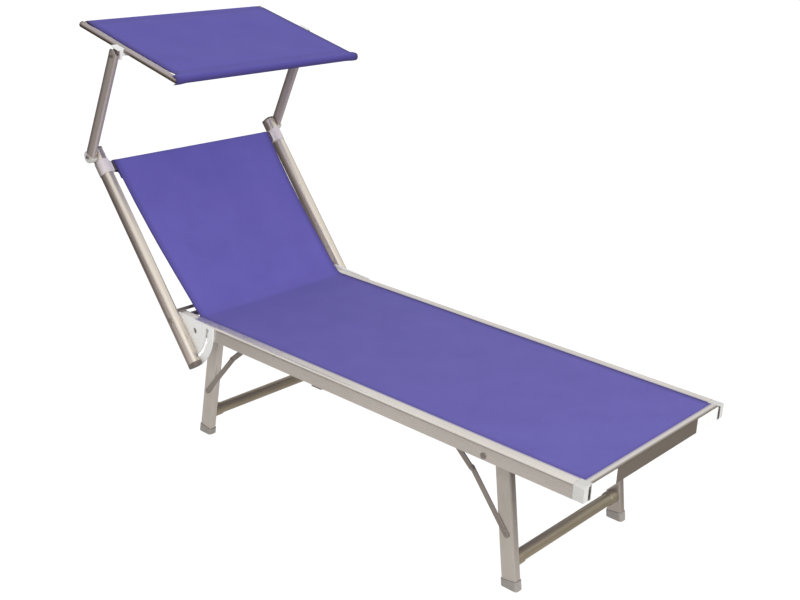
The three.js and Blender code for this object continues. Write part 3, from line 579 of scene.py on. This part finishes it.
def sling_path():
    """From the foot end over the seat, round the fold, up the back and round the top bar to the seam."""
    seat_low, seat_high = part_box("seat_sling")
    level = seat_high.z - CLOTH / 2
    bend = [on_back(along, height - CLOTH / 2) for along, height in bezier(SLING_BEND, 24)]
    fold_y = bend[0][0]
    seat = [(seat_low.y, level), (fold_y - FOLD_ROUND, level)]
    rise = [point for point in bend
            if math.hypot(point[0] - fold_y, point[1] - level) > FOLD_ROUND]
    turn = bezier((seat[-1], (fold_y - FOLD_ROUND / 3, level), (fold_y - 0.002, level + 0.006), rise[0]), 6)
    radius = BAR_RADIUS + CLOTH_GAP + CLOTH / 2
    lap = radius - 1.15 * CLOTH
    far, near = BAR_END - BAR_RADIUS, BAR_START + BAR_RADIUS
    wrap = arc((far, 0.0), radius, math.pi / 2, -math.pi / 2, 12)
    under = bezier(((near, -radius), (near - LAP_SLOPE, -radius),
                    (BAR_START + LAP_SLOPE / 3, radius - 2.2 * CLOTH), (BAR_START - LAP_SLOPE, lap)), 8)
    back = wrap + under + [(BAR_START - SEAM_LAP, lap)]
    return seat + turn[1:] + rise[1:] + [on_back(along, height) for along, height in back]


class SlingShape:
    """The seat's width between the rails, then the back's, which grows towards the top bar."""

    def __init__(self):
        fold = on_back(*SLING_BEND[0])[0]
        self.seat_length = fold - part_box("seat_sling")[0].y

    def halves(self, along, total):
        rise = min(max((along - self.seat_length) / BACK_REACH, 0.0), 1.0)
        back = BACK_HALF + (TOP_HALF - BACK_HALF) * rise
        past_fold = share_of(along, self.seat_length - NARROWS_BEFORE, self.seat_length + NARROWS_AFTER)
        half = SEAT_HALF + (back - SEAT_HALF) * past_fold
        return half, half

    def thickness(self, along, hems):
        on_hem = share_of(1.15 - hems, 0.0, 0.3)
        free = share_of(along, self.seat_length, self.seat_length + HEM_STARTS_OVER)
        round_edge = min(hems * 4 + 0.25, 1.0)
        return (CLOTH + (HEM_CLOTH - CLOTH) * on_hem * free) * (round_edge if free else 1.0)

    def lift(self, x, along, total):
        side = x / self.halves(along, total)[0]
        sag = (1 - side * side) * SLING_SAG
        if along < self.seat_length:
            return -sag * math.sin(math.pi * max(along / self.seat_length, 0.0)) ** 0.5
        rise = min((along - self.seat_length) / (total - self.seat_length - WRAP_LENGTH), 1.0)
        free = math.sin(math.pi * rise)
        return -sag * free * BACK_SAG_MORE + SLING_RIPPLE * free * ripple(x, along)

    def borders(self, edge, along, total):
        to_seam = total - WRAP_LENGTH + SEAM_TO_BAR - along
        return min(edge, along), to_seam if along > total / 2 else 1.0


def sling_cloth(material):
    path = smooth_path(sling_path(), SLING_STEP, SLING_FINE_STEP, SLING_FINE_REACH)
    piece, length, area = cloth("sling_cloth", path, SlingShape(), material)
    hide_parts("seat_sling", "back_sling")
    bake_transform(piece)


# Canopy cloth: a taut sheet over the side tubes with a sleeve round each cross tube

((TUBE_INNER, TUBE_OUTER), (_, CANOPY_BACK),
 (TUBE_LOW, TUBE_HIGH)) = extent("canopy_side_tube_right", CANOPY_PIVOT, CANOPY_ANGLE)
TUBE_RADIUS = (TUBE_HIGH - TUBE_LOW) / 2
CANOPY_RISE = (TUBE_HIGH + TUBE_LOW) / 2
FRONT_TUBE = sum(extent("canopy_front_tube", CANOPY_PIVOT, CANOPY_ANGLE)[1]) / 2
BACK_TUBE = sum(extent("canopy_back_tube", CANOPY_PIVOT, CANOPY_ANGLE)[1]) / 2
WRAP_RADIUS = TUBE_RADIUS + CLOTH_GAP + CLOTH / 2
HALF_TURN = round(math.pi * WRAP_RADIUS, 4)
CANOPY_LEFT = TUBE_INNER + 0.0025
CANOPY_RIGHT = (TUBE_INNER + TUBE_OUTER) / 2
SLEEVE_HALF = TUBE_INNER - 0.0005
SLEEVE_END = TUBE_OUTER + 0.0015
LAP_HALF = TUBE_INNER - 0.0085
SLEEVE_LAP = 0.030
SLEEVE_TURN = 0.016
SLEEVE_TOP = 0.006
SLEEVE_BULGE = 0.0034
SLEEVE_FADE = 0.004
CANOPY_SAG = 0.005
CANOPY_RIPPLE = 0.0005
EDGE_DROP = 0.0028
EDGE_DROP_WIDTH = 0.010
CANOPY_STEP = 0.008
CANOPY_FINE_STEP = 0.0025
CANOPY_FINE_REACH = (0.14, 0.14)


def canopy_path():
    """From the front lap down behind its tube, round it, over the sheet, and the same way at the back."""
    top = CANOPY_RISE + WRAP_RADIUS
    bottom = CANOPY_RISE - WRAP_RADIUS
    lap = top - 1.2 * CLOTH

    def sleeve(tube, way):
        down = bezier(((tube + way * (SLEEVE_TURN - 0.001), lap),
                       (tube + way * SLEEVE_TURN * 0.75, CANOPY_RISE + WRAP_RADIUS * 0.3),
                       (tube + way * SLEEVE_TURN * 0.5, bottom), (tube, bottom)), 7)
        turn = arc((tube, CANOPY_RISE), WRAP_RADIUS, -math.pi / 2, -math.pi / 2 - way * math.pi, 12)
        return [(tube + way * SLEEVE_LAP, lap), (tube + way * SLEEVE_TURN, lap)] + down + turn[1:]

    points = sleeve(FRONT_TUBE, 1) + sleeve(BACK_TUBE, -1)[::-1]
    return [on_canopy(along, height) for along, height in points]


class CanopyShape:
    """Sleeves that reach past the side tubes in front, and a narrower sheet between them."""

    def __init__(self, path):
        lowest = min(range(len(path) // 3), key=lambda i: path[i].z)
        self.bottom = lengths_along(path)[lowest]
        self.top = self.bottom + HALF_TURN
        self.lap_seam = self.top + SLEEVE_LAP

    def from_end(self, along, total):
        return min(along, total - along)

    def halves(self, along, total):
        place = self.from_end(along, total)
        if place < self.bottom - 0.001:
            return LAP_HALF, LAP_HALF
        share = share_of(place, self.top + SLEEVE_TOP, self.top + SLEEVE_TOP + SLEEVE_FADE)
        end = SLEEVE_END if along < total / 2 else SLEEVE_HALF
        return end + (CANOPY_LEFT - end) * share, end + (CANOPY_RIGHT - end) * share

    def thickness(self, along, hems):
        return CLOTH * min(hems * 4 + 0.3, 1.0)

    def lift(self, x, along, total):
        place = self.from_end(along, total)
        if place < self.top:
            turn = math.sin(math.pi * min(max((place - self.bottom) / HALF_TURN, 0.0), 1.0))
            return SLEEVE_BULGE * share_of(abs(x), SLEEVE_HALF, SLEEVE_HALF + SLEEVE_FADE) * turn ** 0.6
        free = math.sin(math.pi * share_of(along, self.top, total - self.top))
        slack = math.sin(math.pi * share_of(along, self.lap_seam, total - self.lap_seam))
        side = x / CANOPY_RIGHT
        sag = CANOPY_SAG * max(1 - abs(side) ** 3, 0.0) * slack
        at_left_edge = 1 - share_of(x + CANOPY_LEFT, 0.0, EDGE_DROP_WIDTH)
        drop = EDGE_DROP * at_left_edge * share_of(free, 0.0, 0.08)
        return CANOPY_RIPPLE * slack * max(1 - side * side, 0.0) * ripple(x, along) - sag - drop

    def borders(self, edge, along, total):
        return edge, self.from_end(along, total) - self.lap_seam


def canopy_cloth(material):
    path = smooth_path(canopy_path(), CANOPY_STEP, CANOPY_FINE_STEP, CANOPY_FINE_REACH)
    piece, length, area = cloth("canopy_cloth", path, CanopyShape(path), material)
    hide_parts("canopy_sling")
    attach(piece, "canopy")


# Camera, light and floor


def camera():
    data = bpy.data.cameras.new("photo_camera")
    data.lens = CAMERA_LENS
    eye = bpy.data.objects.new("photo_camera", data)
    eye.location = CAMERA_PLACE
    aim = (CAMERA_TARGET - CAMERA_PLACE).to_track_quat("-Z", "Y")
    eye.rotation_mode = "QUATERNION"
    eye.rotation_quaternion = aim @ Quaternion((0, 0, 1), CAMERA_ROLL)
    bpy.context.scene.collection.objects.link(eye)
    bpy.context.scene.camera = eye


def seen_directly(tree, path):
    return tree.math("MAXIMUM", path["Is Camera Ray"], path["Is Transmission Ray"])


def world():
    """White to the camera, plain light for the cloth, and a sky that darkens to the horizon in metal."""
    sky = bpy.data.worlds.new("studio")
    bpy.context.scene.world = sky
    tree = Tree(sky)
    path = tree.add("ShaderNodeLightPath").outputs
    rise = tree.split(tree.places.outputs["Generated"])["Z"]
    light = tree.mix(tree.above(rise, 0.0, LIGHT_BLEND_TOP), LIGHT_BESIDE, LIGHT_ABOVE)
    mirrored = tree.mix(tree.above(rise, 0.0, SKY_BLEND_TOP), SKY_LOW, SKY_HIGH)
    lit = tree.mix(path["Is Glossy Ray"], light, mirrored)
    tree.put(tree.nodes["Background"], "Color", tree.mix(seen_directly(tree, path), lit, WHITE_LIGHT))


def floor():
    """White to the camera but for a faint shadow. Metal sees it pale near the lounger and dark far out."""
    bpy.ops.mesh.primitive_plane_add(size=FLOOR_SIZE)
    plane = bpy.context.object
    plane.name = "studio_floor"
    tree = material_tree("studio_floor")
    tree.surface(Base_Color=FLOOR_COLOUR, Roughness=0.9, Specular_IOR_Level=0.0)
    plain = tree.shader.outputs[0]
    path = tree.add("ShaderNodeLightPath").outputs
    place = tree.places.outputs["Object"]
    distance = tree.add("ShaderNodeVectorMath", {"operation": "LENGTH"})
    tree.put(distance, 0, place)
    far = tree.above(distance.outputs["Value"], FAR_FROM, FAR_TO)
    across = tree.math("SUBTRACT", tree.split(place)["X"], tree.split(place)["Y"])
    pale = tree.mix(tree.above(across, SHADED_FROM, SHADED_TO), FLOOR_NEAR, FLOOR_SHADED)
    mirrored = tree.add("ShaderNodeEmission", Color=tree.mix(far, pale, FLOOR_FAR)).outputs[0]
    white = tree.add("ShaderNodeEmission", Color=WHITE_LIGHT, Strength=1 / (1 - FLOOR_SHADOW)).outputs[0]
    lit = tree.mix_shaders(path["Is Glossy Ray"], plain, mirrored)
    backdrop = tree.mix_shaders(FLOOR_SHADOW, white, plain)
    shown = tree.mix_shaders(seen_directly(tree, path), lit, backdrop)
    tree.put(tree.nodes["Material Output"], "Surface", shown)
    plane.data.materials.append(tree.owner)


def key_lamp():
    data = bpy.data.lights.new("key_light", "AREA")
    data.shape = "DISK"
    data.size = LAMP_SIZE
    data.energy = LAMP_POWER
    light = bpy.data.objects.new("key_light", data)
    light.location = LAMP_PLACE
    light.rotation_euler = (LAMP_TARGET - LAMP_PLACE).to_track_quat("-Z", "Y").to_euler()
    bpy.context.scene.collection.objects.link(light)


# Painted shade and reflections on the faces of the profiles, as shares with a colour


def rail_bands(tree):
    """Seat rails: painted shade on the outer side below the top, and painted shade beside the cloth, tinted
    with the cloth's reflected colour.
    """
    low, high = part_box("seat_rail_right")
    side = tree.below(tree.along(UP), high.z - 0.006, high.z - 0.002)
    inner_shade = tree.below(tree.away(), low.x + 0.0005, low.x + 0.008, 0.9)
    return [(side, (208, 203, 198)), (inner_shade, (160, 155, 184))]


def strip_bands(tree):
    """Foot edge strip: painted shade over its front bend, and painted shade beside the cloth, tinted with
    the cloth's reflected colour.
    """
    low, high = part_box("foot_edge_strip")
    place = tree.along(AHEAD)
    front = tree.below(place, low.y + 0.003, low.y + 0.008)
    inner_shade = tree.above(place, high.y - 0.007, high.y - 0.001, 0.9)
    return [(front, (142, 134, 124)), (inner_shade, (156, 149, 180))]


def back_bands(tree):
    """Back rails: painted brown shade over the half that faces down, and a painted olive reflection in
    front.
    """
    height = tree.along(over(BACK_ANGLE), HINGE)
    under = tree.below(height, -0.004, 0.008)
    front = tree.above(height, 0.014, 0.019, 0.8)
    return [(under, (168, 156, 150)), (front, (216, 208, 194))]


def sleeve_bands(tree):
    """Top bar sleeves: painted brown shade over the half that faces down."""
    height = tree.along(over(BACK_ANGLE), HINGE)
    return [(tree.below(height, -0.006, 0.006), (150, 138, 134))]


def arm_bands(tree):
    """Canopy arms: painted shade along the edge behind."""
    height = tree.along(over(ARM_ANGLE), ARM_PIVOT)
    return [(tree.below(height, -0.009, 0.001), (142, 131, 126))]


def tube_bands(tree):
    """Canopy tubes: painted olive shade underneath, and darker at the back ends."""
    height = tree.along(over(CANOPY_ANGLE), CANOPY_PIVOT)
    place = tree.along(ahead(CANOPY_ANGLE), CANOPY_PIVOT)
    under = tree.below(height, CANOPY_RISE - 0.001, CANOPY_RISE + 0.005)
    end = tree.above(place, CANOPY_BACK - 0.020, CANOPY_BACK - 0.004, 0.9)
    return [(under, (140, 128, 112)), (end, (116, 104, 92))]


def cap_bands(tree):
    """Foot caps: painted shade in the recess down the end face."""
    low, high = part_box("rail_foot_cap_right")
    recess = tree.near(tree.away(), low.x + 0.0085, 0.0045, 0.0008)
    under = tree.below(tree.along(UP), high.z - 0.006, high.z - 0.004)
    return [(tree.math("MULTIPLY", recess, under), (104, 98, 96))]


# Materials

# Colours: cloth, darker thread, painted shadow along the side edges, and hems and stitches, which also give
# the painted shade where the cloth turns round a bar
FABRIC = sling_fabric("woven_sling", (108, 100, 184), (90, 83, 165), (72, 64, 124), (78, 69, 136))
# The canopy cloth is the sling's cloth with its colours set darker, as painted shade against the stronger
# light on its upward face
CANOPY_FABRIC = sling_fabric("canopy_sling", (99, 91, 182), (82, 75, 164), (66, 58, 104), (72, 64, 128))
ALUMINIUM = metal("satin_aluminium", (228, 223, 218), (205, 199, 193), 0.3, ALONG_Y, rail_bands)
STRIP = metal("edge_strip", (222, 217, 214), (204, 199, 195), 0.34, ALONG_X, strip_bands)
# Back rails: the bright base colour left between the painted shade bands stands for the highlight on the
# rounded edge
BACK_METAL = metal("back_aluminium", (244, 234, 228), (228, 217, 208), 0.37, ALONG_Z, back_bands, 0.8)
ARM_METAL = metal("arm_aluminium", (198, 186, 181), (178, 166, 161), 0.45, ALONG_Z, arm_bands, 0.5)
TUBE_METAL = metal("tube_aluminium", (178, 169, 171), (158, 148, 150), 0.4, ALONG_Y, tube_bands)
LEG_METAL = metal("leg_aluminium", (206, 201, 195), (170, 164, 156), 0.4, ALONG_Z)
DARK_METAL = metal("dark_aluminium", (150, 141, 131), (130, 121, 112), 0.45, ALONG_X, shine=0.6)
OLIVE_METAL = metal("olive_aluminium", (160, 149, 128), (134, 123, 103), 0.42, ALONG_X, shine=0.55)
BAR_METAL = metal("bar_aluminium", (98, 90, 104), (76, 69, 82), 0.5, ALONG_X, shine=0.5)
STEEL = metal("dull_steel", (156, 148, 142), (126, 118, 112), 0.42, EVENLY, shine=0.7)
WHITE = plastic("white_plastic", (250, 250, 248), (238, 238, 234), 0.45, 0.0012)
SLEEVE = plastic("sleeve_plastic", (222, 213, 216), (206, 197, 201), 0.45, 0.0012, sleeve_bands)
GREY = plastic("grey_plastic", (212, 212, 206), (194, 194, 187), 0.5, 0.0012)
CAP = plastic("cap_plastic", (214, 213, 210), (198, 197, 193), 0.5, 0.0012, cap_bands)
DARK = plastic("dark_plastic", (84, 80, 76), (64, 61, 58), 0.55, 0.001)
FOOT = plastic("foot_plastic", (164, 158, 151), (146, 140, 134), 0.6, 0.001)
PLUG = plastic("plug_plastic", (118, 107, 101), (98, 88, 83), 0.55, 0.001)


# CAD nodes: softened edges and their own materials


def dress(material, *names):
    for name in names:
        node = nodes[name]
        node.data.materials.clear()
        node.data.materials.append(material)
        for polygon in node.data.polygons:
            polygon.use_smooth = True
            polygon.material_index = 0
        weld = node.modifiers.new("weld", "WELD")
        weld.merge_threshold = WELD_DISTANCE
        bevel = node.modifiers.new("bevel", "BEVEL")
        bevel.width = BEVEL_WIDTH
        bevel.segments = 2
        bevel.limit_method = "ANGLE"
        bevel.angle_limit = BEVEL_ANGLE
        bevel.harden_normals = True
        normals = node.modifiers.new("normals", "WEIGHTED_NORMAL")
        normals.keep_sharp = True
        normals.weight = NORMAL_WEIGHT


def seat_frame():
    dress(ALUMINIUM, *pair("seat_rail"))
    dress(STRIP, "foot_edge_strip")
    dress(DARK_METAL, "foot_cross_rail", "backrest_axle")
    dress(STEEL, "front_leg_axle", "rear_leg_axle")
    dress(WHITE, *pair("corner_connector"), *pair("recline_quadrant"))
    dress(CAP, *pair("rail_foot_cap"))
    dress(DARK, *pair("rail_head_cap"))


def legs():
    for end in ("front", "rear"):
        dress(LEG_METAL, *pair(f"{end}_leg"))
        dress(OLIVE_METAL, f"{end}_leg_crossbar")
        dress(FOOT, *pair(f"{end}_foot"))
        dress(STEEL, *pair(f"{end}_stay_lower"), *pair(f"{end}_stay_upper"))


def backrest():
    dress(BACK_METAL, *pair("back_rail"))
    dress(BAR_METAL, "back_top_bar")
    dress(DARK_METAL, "back_lower_bar")
    dress(SLEEVE, *pair("top_bar_sleeve"))
    dress(DARK, *pair("back_rail_top_cap"))
    dress(PLUG, *pair("back_rail_foot_plug"))


def canopy():
    dress(ARM_METAL, *pair("canopy_arm"))
    dress(GREY, *pair("arm_elbow"))
    dress(STEEL, *pair("arm_pivot_bolt"), *pair("canopy_tilt_bolt"))
    dress(WHITE, *pair("canopy_knuckle"))
    dress(TUBE_METAL, *pair("canopy_side_tube"), "canopy_front_tube", "canopy_back_tube")


camera()
world()
floor()
key_lamp()
seat_frame()
legs()
backrest()
canopy()
sling_cloth(FABRIC)
canopy_cloth(CANOPY_FABRIC)

bpy.context.scene.view_settings.view_transform = "Standard"
bpy.context.view_layer.update()
